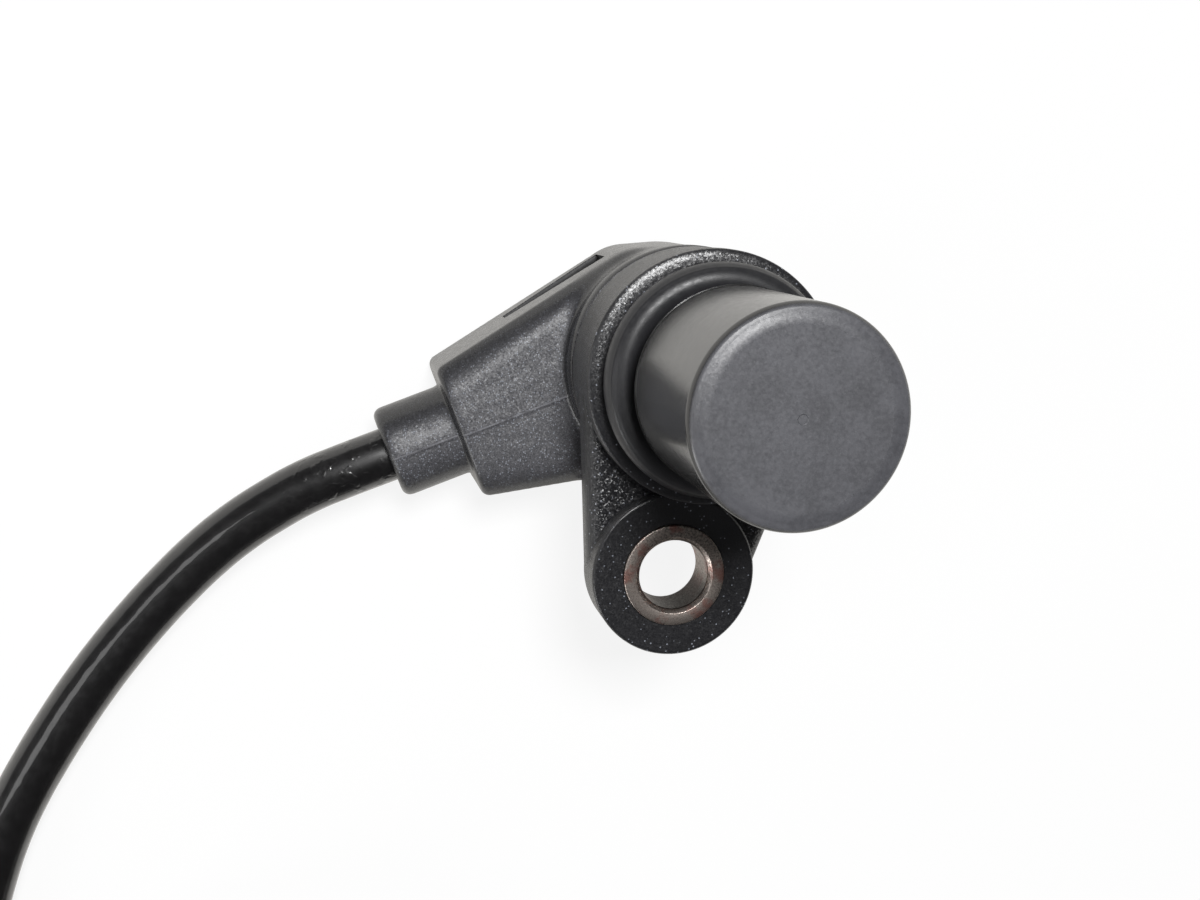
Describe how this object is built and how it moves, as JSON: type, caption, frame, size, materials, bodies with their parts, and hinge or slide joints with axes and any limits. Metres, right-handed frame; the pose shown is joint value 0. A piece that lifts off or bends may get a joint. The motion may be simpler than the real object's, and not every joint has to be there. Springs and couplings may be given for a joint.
{
  "type": "rotation sensor",
  "caption": "Engine speed sensor: round nose with a sealing ring, bolt ear with a steel bush, and a side neck whose moulded-on lead is coiled and ends in a plug.",
  "frame": {"origin": "where the nose's axis meets the flat rear face, on which the sensor stands", "axes": "+Z along the nose, from the rear face to the sensing end; the bolt ear points along -Y; the cable neck leaves at 210 degrees in the XY plane"},
  "size_m": [0.1174, 0.153, 0.05],
  "materials": {
    "housing_plastic": "smooth moulded, semi-gloss black, matt end face",
    "overmould_plastic": "spark-eroded texture, black, glass-fibre filled",
    "seal_rubber": "satin black",
    "cable_jacket": "glossy black",
    "bush_steel": "turned steel, slightly oxidised",
    "copper_wire": "enamelled copper",
    "magnet_alloy": "sintered",
    "soft_iron": "turned",
    "bobbin_plastic": "moulded",
    "tinned_brass": "tin plated",
    "core_brown": "smooth",
    "core_white": "smooth",
    "plug_plastic": "fine moulded texture, black",
    "carrier_plastic": "moulded grey",
    "tie_nylon": "smooth black nylon"
  },
  "bodies": {
    "root": {"sensor_housing": "housing_plastic", "o_ring": "seal_rubber", "compression_bush": "bush_steel", "rear_overmould": "overmould_plastic", "coil_bobbin": "bobbin_plastic", "coil_winding": "copper_wire", "pole_pin": "soft_iron", "magnet": "magnet_alloy", "terminal_left": "tinned_brass", "terminal_right": "tinned_brass", "crimp_left": "tinned_brass", "crimp_right": "tinned_brass", "core_wire_left": "core_brown", "core_wire_right": "core_white", "signal_cable": "cable_jacket", "cable_coil": "cable_jacket", "cable_tail": "cable_jacket", "coil_tie": "tie_nylon", "plug_boot": "seal_rubber", "plug_cap": "plug_plastic", "plug_housing": "plug_plastic", "contact_carrier": "carrier_plastic", "contact_1": "tinned_brass", "contact_2": "tinned_brass", "contact_3": "tinned_brass", "plug_wire_1": "core_brown", "plug_wire_2": "core_white", "plug_wire_3": "core_white"}
  },
  "joints": []
}
